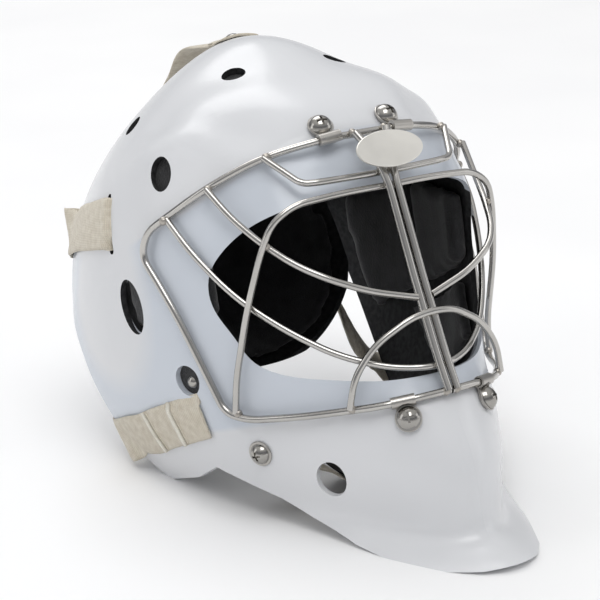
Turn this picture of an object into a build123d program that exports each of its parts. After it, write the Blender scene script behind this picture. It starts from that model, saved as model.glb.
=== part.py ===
from build123d import *
import math
import os

# Goalie mask: moulded shell, welded wire cage, hinged back plate, liner pads, straps and chin cup.
# Everything is drawn as worn (+Z up through the head, face towards -Y, symmetric about X = 0),
# then tipped forward by TILT so that the mask stands on its chin lip and rear lower corners.

# ---------------------------------------------------------------- driving dimensions (mm, degrees)
TILT = 19.0
STAND_Y = 45.82         # where the worn origin lands on the table
STAND_Z = 122.6
SHELL_T = 4.0
RELIEF = 1.4            # depth of the cage seat pressed into the shell
VALLEY = 2.2            # depth of the crease above the brow
PAD_GAP = 0.4
PAD_T = 11.0
WIRE_D = 4.0
FRAME_D = 4.4
BAR_D = 4.8
BAR_PITCH = 5.8
DOME_D = 13.5
WASHER_D = 15.5
STRAP_T = 1.8
STRAP_W = 34.0
CUP_AXIS = (-66.0, -104.0)      # y, z of the chin cup's swing axis

# Control net of the shell's outer face, right half. Each row is one meridian, from inside the
# eye port out over the head and past the trimmed rim; the meridians go from the crown to the chin.
CROWN = [(0, -127, 22), (0, -126, 42), (0, -117, 72), (0, -99, 93), (0, -77, 106),
         (0, -51, 128), (0, -19, 162), (0, 36, 153), (0, 88, 119)]
BROW = [(-36, -126, 18), (-46, -121, 38), (-57, -109, 62), (-69, -87, 89), (-79, -66, 108),
        (-66, -34, 113), (-59, -4, 130), (-49, 46, 123), (-40, 96, 100)]
TEMPLE = [(-60, -124, 14), (-78, -108, 26), (-95, -80, 42), (-105, -48, 56), (-114, -18, 67),
          (-115, 16, 72), (-106, 49, 78), (-92, 91, 74), (-78, 128, 62)]
EAR = [(-68, -116, -4), (-86, -93, -2), (-102, -64, -2), (-111, -28, -2), (-117, 6, -3),
       (-121, 40, -3), (-119, 78, -5), (-112, 118, -11), (-99, 152, -17)]
CHEEK = [(-66, -114, -28), (-77, -92, -40), (-92, -64, -52), (-105, -38, -64), (-108, -18, -72),
         (-109, 5, -82), (-109, 32, -92), (-107, 62, -102), (-102, 92, -112)]
JAW = [(-50, -122, -42), (-60, -110, -66), (-69, -93, -95), (-75, -81, -113), (-76, -76, -125),
       (-74, -75, -134), (-71, -76, -143), (-70, -79, -151), (-69, -82, -158)]
LIP = [(-27, -134, -56), (-32, -140, -82), (-37, -145, -110), (-40, -140, -133), (-37, -134, -151),
       (-33, -131, -165), (-34, -144, -177), (-38, -158, -186), (-43, -164, -192)]
CHIN = [(0, -140, -62), (0, -150, -86), (0, -166, -112), (0, -173, -140), (0, -170, -164),
        (0, -172, -178), (0, -189, -186), (0, -199, -190), (0, -203, -196)]
NET = [CROWN, BROW, TEMPLE, EAR, CHEEK, JAW, LIP, CHIN]
ROWS = len(CROWN)
RING = [[(-x, y, z) for x, y, z in row] for row in NET[1:-1]][::-1]
RING = NET + RING       # the closed ring: crown, right side, chin, left side


# ---------------------------------------------------------------- the shell's surface
def ring_weight(d):
    """Uniform cubic B-spline at distance d from its peak."""
    d = abs(d)
    if d < 1:
        return (4 - 6 * d * d + 3 * d ** 3) / 6
    return (2 - d) ** 3 / 6 if d < 2 else 0.0


def row_weights(v):
    """Clamped cubic B-spline weights of the nine rows at v in 0..1."""
    spans = ROWS - 3
    knots = [0.0] * 3 + [i / spans for i in range(spans + 1)] + [1.0] * 3
    v = min(max(v, 0.0), 1 - 1e-9)
    w = [1.0 if knots[i] <= v < knots[i + 1] else 0.0 for i in range(len(knots) - 1)]
    for k in (1, 2, 3):
        for i in range(len(w) - k):
            a, b = knots[i + k] - knots[i], knots[i + k + 1] - knots[i + 1]
            w[i] = ((v - knots[i]) / a * w[i] if a else 0) + (
                (knots[i + k + 1] - v) / b * w[i + 1] if b else 0)
    return w[:ROWS]


def base_point(s, v):
    """Point of the smooth outer face: s runs 0 (crown) to 7 (chin) round the right side."""
    total = Vector(0, 0, 0)
    rows = [(j, w) for j, w in enumerate(row_weights(v)) if w]
    for i in range(math.floor(s) - 1, math.floor(s) + 3):
        a = ring_weight(s - i)
        for j, b in rows:
            total += Vector(*RING[i % len(RING)][j]) * (a * b)
    return total


def base_normal(s, v):
    """Unit normal of the outer face, pointing away from the head."""
    h = 0.01
    lo, hi = max(v - h, 0), min(v + h, 1)
    n = (base_point(s, hi) - base_point(s, lo)).cross(base_point(s + h, v) - base_point(s - h, v))
    return n.normalized()


def step(t):
    """Smooth 0..1 step."""
    t = min(max(t, 0.0), 1.0)
    return t * t * (3 - 2 * t)


def relief(p):
    """Height added to the outer face: the pressed cage seat and the crease above the brow."""
    x, y, z = abs(p.X), p.Y, p.Z
    top = 71 - (x / 110) ** 2.4 * 38            # the seat's upper, rear and lower edges
    rear = 112 - 0.20 * max(0, 24 - z)
    seat = step((top - z) / 6) * step((rear - x) / 6 + 0.4) * step((z + 90) / 6)
    line = 96 - 20 * step((-y - 55) / 45)
    fade = step((x - 38) / 22) * step((-y - 0) / 30) * step((125 + y) / 40)
    crease = math.exp(-((z - line) / 8) ** 2) - 0.45 * math.exp(-((z - line + 17) / 9) ** 2)
    return -RELIEF * seat - VALLEY * crease * fade


def grid(offset, s_range, v_range, ns, nv, shaped=False):
    """Rows of points offset from the outer face over a patch of it."""
    out = []
    for i in range(ns + 1):
        s = s_range[0] + (s_range[1] - s_range[0]) * i / ns
        row = []
        for j in range(nv + 1):
            v = v_range[0] + (v_range[1] - v_range[0]) * j / nv
            p = base_point(s, v)
            row.append(p + base_normal(s, v) * (offset + (relief(p) if shaped else 0)))
        out.append(row)
    return out


def smooth_face(rows):
    """Face fitted to a dense grid."""
    return Face.make_surface_from_array_of_points(rows, tol=0.1, smoothing=(1, 1, 1), min_deg=3,
                                                  max_deg=5)


def curve_face(rows):
    """Face through every third row of a grid and all of its columns."""
    columns = [Spline(*[row[j] for row in rows]) for j in range(len(rows[0]))]
    return Face.make_gordon_surface([Spline(*row) for row in rows[::3]], columns)


def slab(outer, inner, skin=smooth_face):
    """Closed solid between two point grids of the same size."""
    a, b = skin(outer), skin(inner)
    sides = []
    for edge in a.edges():
        mate = min(b.edges(), key=lambda e: (e.center() - edge.center()).length)
        sides.append(Face.make_surface_from_curves(edge, mate))
    return Solid(Shell([a, b, *sides]))


def foot(x, y, z):
    """Nearest place on the outer face: (s, v, point, normal)."""
    target = Vector(x, y, z)
    s, v = min(((i / 6, j / 24) for i in range(-3, 46) for j in range(25)),
               key=lambda q: (base_point(*q) - target).length)
    reach = 1 / 12
    for _ in range(9):
        s, v = min(((s + a * reach, min(max(v + b * reach / 3, 0), 1)) for a in (-1, 0, 1)
                    for b in (-1, 0, 1)), key=lambda q: (base_point(*q) - target).length)
        reach *= 0.6
    return s, v, base_point(s, v), base_normal(s, v)


def both(half):
    """The part and its mirror image, as one compound of solids."""
    return Compound(children=[*half.solids(), *mirror(half, Plane.YZ).solids()])


def seat_plane(x, y, z, up=(0, 0, 1), lift=0.0):
    """Plane on the shell's outer face nearest the point, its local Y towards up."""
    _, _, p, n = foot(x, y, z)
    across = Vector(*up).cross(n).normalized()
    return Plane(origin=p + n * lift, x_dir=across, z_dir=n)


# ---------------------------------------------------------------- shell
# Side view (y, z) of the trimmed rim: rear edge from crown to lower corner, then the jaw line.
REAR_EDGE = [(52, 178), (80, 128), (95, 100), (101, 60), (104, 20), (98, -20), (84, -60),
             (62, -95), (38, -118)]
JAW_LINE = [(0, -117), (-25, -111), (-66, -134), (-83, -147), (-110, -165), (-135, -177.5),
            (-155, -184), (-176, -188), (-240, -190), (-240, 178)]
# Front view (x, z) of the eye port, right half.
PORT = [(0, 33.5), (-28, 33.2), (-50, 32), (-64, 29.5), (-77, 25), (-87, 17), (-93, 7),
        (-95, -6), (-93, -20), (-87, -37), (-81, -52), (-70, -62.5), (-52, -70), (-34, -75),
        (-16, -77), (0, -77.5)]
# Vents of the right half: centre, width, height.
VENTS = [((-36, -44, 117), 15, 15), ((-78, 16, 101), 14, 14), ((-97, -45, 66), 16, 21),
         ((-114, -3, -7), 21, 34), ((-104, -35, -56), 19, 19), ((-60, -103, -126), 19, 21)]
SLOT_AT, SLOT_L, SLOT_WIDE = (-114, 6, 45), 37, 4.5
TOP_CLIP, CHIN_CLIP = (-23, -108, 74), (-27, -145, -98.6)
SIDE_SCREW = (-82, -67, -105)
TOP_ANCHOR = (0, 12, 148)
LOWER_ANCHOR = (-101, -27, -80)
SNAP_AT = (-102, -33, -58)


def worn_to_stand(part):
    """Tip the worn pose forward and set it down on the table."""
    return Location((0, STAND_Y, STAND_Z), (-TILT, 0, 0)) * part


def cut_both(body, tool):
    """Cut a tool and its mirror image."""
    return body - tool - mirror(tool, Plane.YZ)


def make_shell():
    whole = slab(grid(0, (-0.5, 7.5), (0, 1), 48, 30, shaped=True),
                 grid(-SHELL_T, (-0.5, 7.5), (0, 1), 48, 30))
    half = whole & Pos(-100, 0, 0) * Box(200, 600, 600)
    rim = make_face(Plane.YZ * (Spline(*REAR_EDGE) + Polyline(REAR_EDGE[-1], *JAW_LINE, REAR_EDGE[0])))
    half &= extrude(rim, amount=140, both=True)
    left = [(-x, z) for x, z in PORT[-2:0:-1]]
    port = make_face(Spline(*[(x, z) for x, z in PORT + left], periodic=True))
    half -= Pos(0, -125, 0) * Rot(90, 0, 0) * extrude(port, amount=85, both=True)
    for centre, wide, tall in VENTS:
        half -= extrude(seat_plane(*centre) * Ellipse(wide / 2, tall / 2), amount=12, both=True)
    slot = seat_plane(*SLOT_AT) * SlotOverall(SLOT_L, SLOT_WIDE, rotation=90)
    half -= extrude(slot, amount=12, both=True)
    for centre in (TOP_CLIP, CHIN_CLIP, SIDE_SCREW):
        half -= seat_plane(*centre) * Cylinder(3.2, 30)
    half -= seat_plane(*LOWER_ANCHOR) * Cylinder(2.2, 30)
    shell = half + mirror(half, Plane.YZ)
    shell -= seat_plane(*TOP_ANCHOR) * Cylinder(2.2, 30)
    return shell


# ---------------------------------------------------------------- wire cage
# Centre lines of the right half (x, y, z); symmetric ones end on the middle.
FRAME_PATH = [(0, -120, 68), (-30, -118.5, 66), (-63.5, -104, 62.5), (-91, -80, 51.5),
              (-111, -38, 35), (-113, -28, 22), (-108.4, -45.8, -12), (-95, -58, -78),
              (-88, -72, -84), (-70, -103, -87), (-41, -139, -88.5), (-22, -148.9, -88.2),
              (0, -152, -88)]
BROW_PATH = [(-63.5, -106.5, 62), (-52, -123, 43), (-42, -127, 42), (0, -131, 41)]
LOOP_PATH = [(-92.5, -66, -79), (-91, -72, -60), (-88, -96, -21), (-82, -113, 8), (-76, -122, 24),
             (-62, -127.5, 32), (-30, -131.2, 33.5), (0, -131.9, 33)]
UPPER_PATH = [(-91.3, -83.2, 51.2), (-86, -96, 32), (-79, -111, 15), (-69, -127, -1),
              (-57, -138, -12), (-35, -144, -24), (-5, -145, -33)]
LOWER_PATH = [(-105, -53.5, 39.5), (-100.5, -67.6, 17), (-88.2, -84.2, -12), (-70, -104, -37),
              (-50, -122, -57), (-25, -138.5, -70), (0, -149.4, -74)]
ARCH_PATH = [(-53.5, -128, -87.2), (-50, -134, -70), (-37, -141.5, -54), (-15, -149.5, -43.5),
             (0, -150.5, -42)]
BAR_PATH = [(-11, -124.3, 66.6), (-7, -129.5, 56), (-BAR_PITCH / 2, -135.5, 38),
            (-BAR_PITCH / 2, -142.5, -20), (-BAR_PITCH / 2, -149.5, -66), (-BAR_PITCH / 2, -154.6, -88)]


def bend_radii(points):
    """Largest comfortable bend at each inner point of a route."""
    radii = []
    for before, at, after in zip(points, points[1:], points[2:]):
        a, b = Vector(*at) - Vector(*before), Vector(*after) - Vector(*at)
        turn = math.radians(max(a.get_angle(b), 1.0))
        radii.append(min(0.45 * min(a.length, b.length) / math.tan(turn / 2), 260.0))
    return radii


def wire(points, diameter):
    """Round wire of straight runs joined by tangent bends."""
    path = FilletPolyline(*points, radius=bend_radii(points))
    return sweep(Plane(origin=path @ 0, z_dir=path % 0) * Circle(diameter / 2), path=path)


def whole_path(points):
    """Route of a symmetric wire from the half that ends on the middle."""
    return points + [(-x, y, z) for x, y, z in points[-2::-1]]


def make_frame(diameter=FRAME_D):
    """Perimeter wire, its ends butted behind the bars at the bottom."""
    up = FRAME_PATH[::-1]
    butt = (-0.4, *up[0][1:])
    right = [butt] + up[1:-1]
    return wire(right + [(-x, y, z) for x, y, z in right[::-1]], diameter)


def make_bars():
    return both(wire(BAR_PATH, BAR_D))


def make_badge():
    """Blank oval plate across the forked tops of the bars."""
    face = Plane((0, -139.4, 53), x_dir=(1, 0, 0), z_dir=(0, -0.94, 0.34))
    plate = extrude(face * Ellipse(22.5, 11.5), amount=1.5)
    return chamfer(plate.edges(), 0.4)


# ---------------------------------------------------------------- fasteners
def dome_screw(place, dome, reach):
    """Cross-head dome screw whose shank runs inwards from the seat plane."""
    radius = dome / 2
    ball = radius * 1.12
    head = Pos(0, 0, radius * 0.72 - ball) * Sphere(ball)
    head &= Pos(0, 0, 20) * Box(60, 60, 40)
    cross = Box(1.3, radius * 0.95, 4) + Box(radius * 0.95, 1.3, 4)
    head -= Pos(0, 0, radius * 0.72) * cross
    return place * (head + Pos(0, 0, -reach / 2 + 0.5) * Cylinder(2.0, reach + 1))


def washer(place, diameter, thick, hole):
    ring = Cylinder(diameter / 2, thick) - Cylinder(hole, thick)
    return place * (Pos(0, 0, thick / 2) * chamfer(ring.edges().sort_by(Axis.Z)[-2:], 0.35))


def tee_nut(place):
    """Flange against the inner face with a barrel through the shell."""
    flange = Pos(0, 0, -SHELL_T - 1.5) * Cylinder(7, 1.4)
    barrel = Pos(0, 0, -SHELL_T / 2 - 0.6) * Cylinder(3.0, SHELL_T + 1.2)
    return place * (flange + barrel - Cylinder(2.1, 30))


def clip(place, tube_at, run):
    """Bent strap: a tube round the frame wire and a tongue under the screw."""
    tube = Plane(origin=tube_at, z_dir=run) * Cylinder(3.4, 14)
    local = place.to_local_coords(Vector(*tube_at))
    reach = math.hypot(local.X, local.Y)
    angle = math.degrees(math.atan2(local.Y, local.X))
    tongue = Pos(reach / 2, 0, 0.7) * Box(reach, 10.5, 1.4) + Pos(0, 0, 0.7) * Cylinder(6.6, 1.4)
    tongue += Pos(reach - 3.1, 0, local.Z / 2) * Box(1.5, 10.5, local.Z)
    tongue = place * (Rot(0, 0, angle) * tongue)
    body = tongue + tube
    body -= place * Pos(0, 0, 6.5) * Cylinder(WASHER_D / 2 + 0.3, 10)
    return body - make_frame(FRAME_D + 0.7) - place * Cylinder(2.2, 30)


# ---------------------------------------------------------------- liner pads
# Patches of the liner on the right half: s range, v range, thickness.
PADS = {
    "temple_pad": ((1.12, 2.30), (0.30, 0.72), PAD_T),
    "cheek_pad": ((2.40, 3.45), (0.16, 0.545), PAD_T),
    "ear_pad": ((2.40, 3.45), (0.56, 0.88), PAD_T),
    "jaw_pad": ((3.55, 4.30), (0.22, 0.72), 9.0),
}
FOREHEAD_PAD = ((-1.0, 1.0), (0.17, 0.42), PAD_T)
CROWN_PAD = ((-1.0, 1.0), (0.46, 0.76), PAD_T)
SWEATBAND = ((-0.85, 0.85), (0.175, 0.30), 3.0)


def liner(s_range, v_range, thick, lift=0.0):
    """Foam slab that follows the shell's inner face."""
    top = -SHELL_T - PAD_GAP - lift
    size = [max(6, round((s_range[1] - s_range[0]) * 7)), 10]
    return slab(grid(top, s_range, v_range, *size), grid(top - thick, s_range, v_range, *size))


# ---------------------------------------------------------------- back plate
PLATE_CENTRE = (0, 18, 25)
PLATE_AXES = (98.0, 112.0, 100.0)
PLATE_T = 3.0
PLATE_OUTLINE = [(0, 88), (-38, 84), (-66, 66), (-81, 36), (-83, 4), (-76, -26), (-58, -50),
                 (-28, -62), (0, -64)]


def egg(inset):
    """Head-shaped ellipsoid, inset from the back plate's outer face."""
    axes = tuple(a - inset for a in PLATE_AXES)
    return Pos(*PLATE_CENTRE) * scale(Sphere(1), by=axes)


def plate_layer(outer_inset, thick, shrink):
    """Layer of the back plate, cut to its outline seen from behind."""
    k = [(x * (1 - shrink / 70), z - (z - 20) * shrink / 68) for x, z in PLATE_OUTLINE]
    left = [(-x, z) for x, z in k[-2:0:-1]]
    outline = Pos(0, 60, 0) * Rot(90, 0, 0) * make_face(Spline(*(k + left), periodic=True))
    return (egg(outer_inset) - egg(outer_inset + thick)) & extrude(outline, amount=-120)


def plate_point(x, z):
    """Point and outward normal on the back plate's outer face."""
    a, b, c = PLATE_AXES
    dx, dz = x - PLATE_CENTRE[0], z - PLATE_CENTRE[2]
    dy = b * math.sqrt(1 - (dx / a) ** 2 - (dz / c) ** 2)
    n = Vector(dx / a ** 2, dy / b ** 2, dz / c ** 2).normalized()
    return Vector(x, PLATE_CENTRE[1] + dy, z), n


# ---------------------------------------------------------------- straps
def blend_rows(rows, steps=3):
    """Catmull-Rom rows between the given ones, each a list of (point, normal)."""
    dense = []
    for i in range(len(rows) - 1):
        near = [rows[max(i - 1, 0)], rows[i], rows[i + 1], rows[min(i + 2, len(rows) - 1)]]
        for k in range(steps):
            t = k / steps
            w = (-t / 2 + t * t - t ** 3 / 2, 1 - 2.5 * t * t + 1.5 * t ** 3,
                 t / 2 + 2 * t * t - 1.5 * t ** 3, (t ** 3 - t * t) / 2)
            dense.append([tuple(sum((row[j][m] * f for row, f in zip(near, w)), Vector())
                                for m in (0, 1)) for j in range(len(rows[0]))])
    return dense + [rows[-1]]


def off_plate(p, gap):
    """Push a point out until it clears the back plate's outer face."""
    q = p - Vector(*PLATE_CENTRE)
    r = math.sqrt(sum((a / (b + gap)) ** 2 for a, b in zip(tuple(q), PLATE_AXES)))
    return Vector(*PLATE_CENTRE) + q / r if r < 1 else p


def band(rows, thick):
    """Webbing from rows of (point, normal) across its width."""
    rows = [[(off_plate(p, thick / 2 + 0.5), n.normalized()) for p, n in row]
            for row in blend_rows(rows)]
    return slab([[p + n * (thick / 2) for p, n in row] for row in rows],
                [[p - n * (thick / 2) for p, n in row] for row in rows], curve_face)


def shell_row(centre, across, width, lift):
    """Row of band points lying on the shell's outer face."""
    row = []
    for k in (-1, -0.5, 0, 0.5, 1):
        q = Vector(*centre) + Vector(*across).normalized() * (k * width / 2)
        _, _, p, n = foot(q.X, q.Y, q.Z)
        row.append((p + n * lift, n))
    return row


def free_row(centre, across, width, normal):
    """Straight row of band points off the shell."""
    c, a, n = Vector(*centre), Vector(*across).normalized(), Vector(*normal).normalized()
    return [(c + a * (k * width / 2), n) for k in (-1, -0.5, 0, 0.5, 1)]


def plate_row(x, z, across, width, lift):
    """Row of band points lying on the back plate."""
    row = []
    for k in (-1, -0.5, 0, 0.5, 1):
        p, n = plate_point(x + across[0] * k * width / 2, z + across[1] * k * width / 2)
        row.append((p + n * lift, n))
    return row


STRAP_LIFT = STRAP_T / 2 + 0.7
RIVET_SEAT = STRAP_LIFT + STRAP_T / 2 + 0.15
TOP_RIVET_SEAT = 2.9     # height of the crown rivet's head above the shell
RIVET_TAIL = -PLATE_T - 0.25
# Rivets on the back plate (x, z) at the strap ends.
LOWER_RIVET, UPPER_RIVET, TOP_RIVET = (-62, -17), (-60, 44), (0, 74)


def rivet_plane(x, z):
    """Plane on the back plate's outer face, facing away from the head."""
    p, n = plate_point(x, z)
    return Plane(origin=p, x_dir=Vector(1, 0, 0), z_dir=n)


def rivet(place, head_at, inner_at, head_r=4.6):
    """Domed rivet: head above head_at, flat tail below inner_at, measured along the plane."""
    ball = head_r * 1.5
    drop = math.sqrt(ball ** 2 - head_r ** 2)
    head = (Pos(0, 0, -drop) * Sphere(ball)) & Pos(0, 0, 10) * Box(30, 30, 20)
    body = Pos(0, 0, head_at) * head
    body += Pos(0, 0, (head_at + inner_at) / 2) * Cylinder(1.9, head_at - inner_at + 0.2)
    return place * (body + Pos(0, 0, inner_at - 0.5) * Cylinder(4.2, 1.0))


def plate_rivets():
    out = [s for at in (LOWER_RIVET, UPPER_RIVET)
           for s in both(rivet(rivet_plane(*at), RIVET_SEAT, RIVET_TAIL)).solids()]
    return Compound(children=out + [rivet(rivet_plane(*TOP_RIVET), RIVET_SEAT, RIVET_TAIL)])


def strap_studs():
    """Flat studs sewn under the front ends of the lower straps, through the shell."""
    stud = Pos(0, 0, 0.2) * Cylinder(5, 0.3) + Pos(0, 0, -SHELL_T / 2) * Cylinder(2.05, SHELL_T + 0.8)
    stud += Pos(0, 0, -SHELL_T - 0.7) * Cylinder(4.4, 1.0)
    return both(seat_plane(*LOWER_ANCHOR) * stud)


def liner_snaps():
    """Press studs on the jaw pads, seen through the rear vents."""
    ball = (Pos(0, 0, -2.6) * Sphere(4.6)) & Pos(0, 0, 5) * Box(20, 20, 10)
    snap = ball + Pos(0, 0, -2) * Cylinder(1.5, 4.2)
    return both(seat_plane(*SNAP_AT, lift=-SHELL_T - PAD_GAP + 0.1) * snap)


def lower_strap():
    """From its stud on the cheek back round the lower rim and up to the back plate."""
    rows = [shell_row(c, (0, slant, -1), STRAP_W * wide, STRAP_LIFT) for c, slant, wide in
            [((-98, -38, -78), 0, 0.88), ((-102, -18, -80.5), -0.06, 0.89),
             ((-106, 5, -84), -0.16, 0.9), ((-107, 28, -87), -0.3, 0.92),
             ((-107, 46, -88.5), -0.45, 0.95), ((-106, 57, -89.3), -0.6, 0.98)]]
    rim = (0, -0.55, -0.85)
    rows.append(free_row((-104.5, 69.5, -89.3), rim, STRAP_W, (-0.5, 0.85, -0.4)))
    rows.append(free_row((-97.5, 71.5, -86), rim, STRAP_W, (0.3, 0.9, -0.45)))
    rows.append(free_row((-88, 75, -70), (0, -0.4, -0.9), STRAP_W * 0.95, (-0.1, 0.9, -0.4)))
    rows.append(free_row((-80, 82, -46), (0.1, -0.2, -0.95), STRAP_W * 0.9, (-0.5, 0.8, -0.2)))
    rows += [plate_row(x, z, (0, -1), STRAP_W * 0.85, STRAP_LIFT) for x, z in
             [(-70, -22), (-62, -17), (-54, -13)]]
    return band(rows, STRAP_T)


def upper_strap():
    rows = [shell_row(c, (0, 0.05, -1), STRAP_W, lift) for c, lift in
            [((-114, 12, 47), 2.2), ((-115, 22, 48), STRAP_LIFT), ((-115, 38, 49), STRAP_LIFT),
             ((-112, 56, 50), STRAP_LIFT), ((-108, 72, 50), STRAP_LIFT),
             ((-104, 86, 49), STRAP_LIFT), ((-99, 96, 48), STRAP_LIFT + 0.3)]]
    rows.append(free_row((-95, 107, 47), (0, 0, -1), STRAP_W, (-0.5, 0.85, 0)))
    rows.append(free_row((-85, 106, 46), (0, 0, -1), STRAP_W * 0.96, (0.3, 0.95, 0)))
    rows += [plate_row(x, z, (0, -1), STRAP_W * 0.85, STRAP_LIFT) for x, z in
             [(-70, 43), (-60, 44), (-51, 45)]]
    return band(rows, STRAP_T)


def top_strap():
    """Slack strap from the crown rivet over the rear rim to the back plate."""
    rows = [shell_row((0, y, 146), (1, 0, 0), 30, lift) for y, lift in
            [(2, STRAP_LIFT), (10, STRAP_LIFT), (18, STRAP_LIFT), (27, 4.5)]]
    centres = [((0, 39, 147), (0, -0.2, 1)), ((0, 51, 149), (0, 0.15, 1)),
               ((0, 64, 146), (0, 0.45, 1)), ((0, 78, 137), (0, 0.6, 1)),
               ((0, 92, 130), (0, 0.6, 1)), ((0, 106, 122), (0, 1, 0.8)),
               ((0, 112, 108), (0, 1, 0.3))]
    rows += [free_row(c, (1, 0, 0), 30, n) for c, n in centres]
    rows += [plate_row(x, z, (1, 0), 30, STRAP_LIFT) for x, z in [(0, 84), (0, 76), (0, 66)]]
    return band(rows, STRAP_T)


# ---------------------------------------------------------------- chin cup
def cup_place():
    """Hanging frame of the chin cup: Y points up at rest, X along the swing axis."""
    up = Vector(0, -math.sin(math.radians(TILT)), math.cos(math.radians(TILT)))
    return Plane(origin=(0, *CUP_AXIS), x_dir=(1, 0, 0), z_dir=Vector(1, 0, 0).cross(up))


CUP_BALL, CUP_DROP, PIVOT_X = 46.0, 36.0, 68.0


def cup_shell():
    ball = Pos(0, CUP_BALL - CUP_DROP, 0) * (Sphere(CUP_BALL) - Sphere(CUP_BALL - 3))
    prism = Rot(90, 0, 0) * extrude(Ellipse(34, 22), amount=60)
    return cup_place().location * (ball & prism)


def cup_pad():
    ball = Pos(0, CUP_BALL - CUP_DROP, 0) * (Sphere(CUP_BALL - 3.4) - Sphere(CUP_BALL - 10))
    prism = Rot(90, 0, 0) * extrude(Ellipse(30, 19), amount=60)
    return cup_place().location * (ball & prism)


def cup_sling():
    """Webbing sling under the cup, with an eyelet at each pivot."""
    r = CUP_BALL + 1.3
    mid = CUP_BALL - CUP_DROP
    a = math.radians(46)
    foot_x, foot_y = r * math.sin(a), mid - r * math.cos(a)
    path = (Polyline((-PIVOT_X, 7), (-PIVOT_X, -8), (-foot_x, foot_y))
            + ThreePointArc((-foot_x, foot_y), (0, mid - r), (foot_x, foot_y))
            + Polyline((foot_x, foot_y), (PIVOT_X, -8), (PIVOT_X, 7)))
    strip = extrude(trace(path, 2.0), amount=8, both=True)
    return cup_place().location * (strip - Rot(0, 90, 0) * Cylinder(2.65, 200))


def cup_pivots():
    """Short headed pins, one at each side nut, on the swing axis."""
    pin = Pos(-PIVOT_X, 0, 0) * Rot(0, 90, 0) * Cylinder(2.5, 8)
    head = Pos(-PIVOT_X + 3, 0, 0) * Rot(0, 90, 0) * Cylinder(4.5, 1.6)
    return both(cup_place().location * (pin + head))


# ---------------------------------------------------------------- assembly
def make_parts():
    parts = {"shell": make_shell(), "cage_frame": make_frame()}
    parts["cage_brow_wire"] = wire(whole_path(BROW_PATH), WIRE_D)
    parts["cage_eye_loop"] = wire(whole_path(LOOP_PATH), WIRE_D)
    upper = wire(UPPER_PATH, WIRE_D)
    parts["cage_upper_wire_right"], parts["cage_upper_wire_left"] = upper, mirror(upper, Plane.YZ)
    parts["cage_lower_wire"] = wire(whole_path(LOWER_PATH), WIRE_D)
    parts["cage_chin_arch"] = wire(whole_path(ARCH_PATH), WIRE_D)
    parts["cage_bars"] = make_bars()
    parts["badge"] = make_badge()

    clips = [(seat_plane(*TOP_CLIP, lift=0.3), (-25, -118.6, 66.3), (-0.98, 0.1, -0.08), "top"),
             (seat_plane(*CHIN_CLIP, lift=0.3), (-28.5, -145, -88.3), (-0.88, 0.47, -0.01), "chin")]
    for place, tube_at, run, name in clips:
        parts[f"{name}_clips"] = both(clip(place, tube_at, Vector(*run)))
    seats = [place for place, *_ in clips]
    side = seat_plane(*SIDE_SCREW, lift=0.3)
    stacked = [p.offset(1.6) for p in seats] + [side]
    parts["clip_washers"] = Compound(children=[
        s for p in stacked[:2] for s in both(washer(p, WASHER_D, 1.0, 2.2)).solids()])
    parts["side_washers"] = both(washer(side, WASHER_D, 1.0, 2.2))
    parts["clip_screws"] = Compound(children=[
        s for p in stacked[:2]
        for s in both(dome_screw(p.offset(1.2), DOME_D, SHELL_T + 4)).solids()])
    parts["side_screws"] = both(dome_screw(side.offset(1.2), 12.0, SHELL_T + 3))
    parts["clip_nuts"] = Compound(children=[
        s for c in (TOP_CLIP, CHIN_CLIP) for s in both(tee_nut(seat_plane(*c))).solids()])
    parts["side_nuts"] = both(tee_nut(seat_plane(*SIDE_SCREW)))

    for name, (s_range, v_range, thick) in PADS.items():
        pad = liner(s_range, v_range, thick)
        if name == "jaw_pad":
            pad -= seat_plane(*LOWER_ANCHOR) * Cylinder(6, 14)
            pad -= seat_plane(*SNAP_AT) * Cylinder(1.7, 18)
        parts[f"{name}_right"], parts[f"{name}_left"] = pad, mirror(pad, Plane.YZ)
    parts["forehead_pad"] = liner(*FOREHEAD_PAD)
    parts["crown_pad"] = liner(*CROWN_PAD)
    parts["sweatband"] = liner(*SWEATBAND, lift=PAD_T + 0.4)
    parts["forehead_pad"] = cut_both(parts["forehead_pad"], seat_plane(*TOP_CLIP) * Cylinder(8, 24))

    plate, cushion = plate_layer(0, PLATE_T, 0), plate_layer(PLATE_T + 0.4, 9.0, 6)
    for at in (LOWER_RIVET, UPPER_RIVET, TOP_RIVET):
        plate = cut_both(plate, rivet_plane(*at) * Cylinder(2.1, 12))
        cushion = cut_both(cushion, rivet_plane(*at) * Cylinder(5.5, 9.8))
    parts["back_plate"], parts["back_plate_pad"] = plate, cushion
    parts["plate_rivets"] = plate_rivets()
    crown = seat_plane(*TOP_ANCHOR)
    parts["top_strap"] = (top_strap() - crown * Cylinder(2.4, 30)
                          - rivet_plane(*TOP_RIVET) * Cylinder(2.4, 12))
    parts["top_rivet"] = rivet(crown, TOP_RIVET_SEAT, -SHELL_T - 0.1)
    parts["strap_studs"] = strap_studs()
    parts["liner_snaps"] = liner_snaps()
    for name, strap in (("upper_strap", upper_strap() - rivet_plane(*UPPER_RIVET) * Cylinder(2.4, 12)),
                        ("lower_strap", lower_strap() - rivet_plane(*LOWER_RIVET) * Cylinder(2.4, 12))):
        parts[f"{name}_right"], parts[f"{name}_left"] = strap, mirror(strap, Plane.YZ)
    parts["chin_cup"] = cup_shell()
    parts["chin_cup_pad"] = cup_pad()
    parts["chin_sling"] = cup_sling()
    parts["cup_pivots"] = cup_pivots()
    return parts


def main():
    os.makedirs("parts", exist_ok=True)
    table = Pos(0, 0, 300) * Box(900, 900, 600)
    for name, part in make_parts().items():
        placed = worn_to_stand(part)
        if name == "shell":
            placed &= table
        export_step(Compound(children=placed.solids(), label=name), f"parts/{name}.step")


main()
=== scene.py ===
import math

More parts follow.
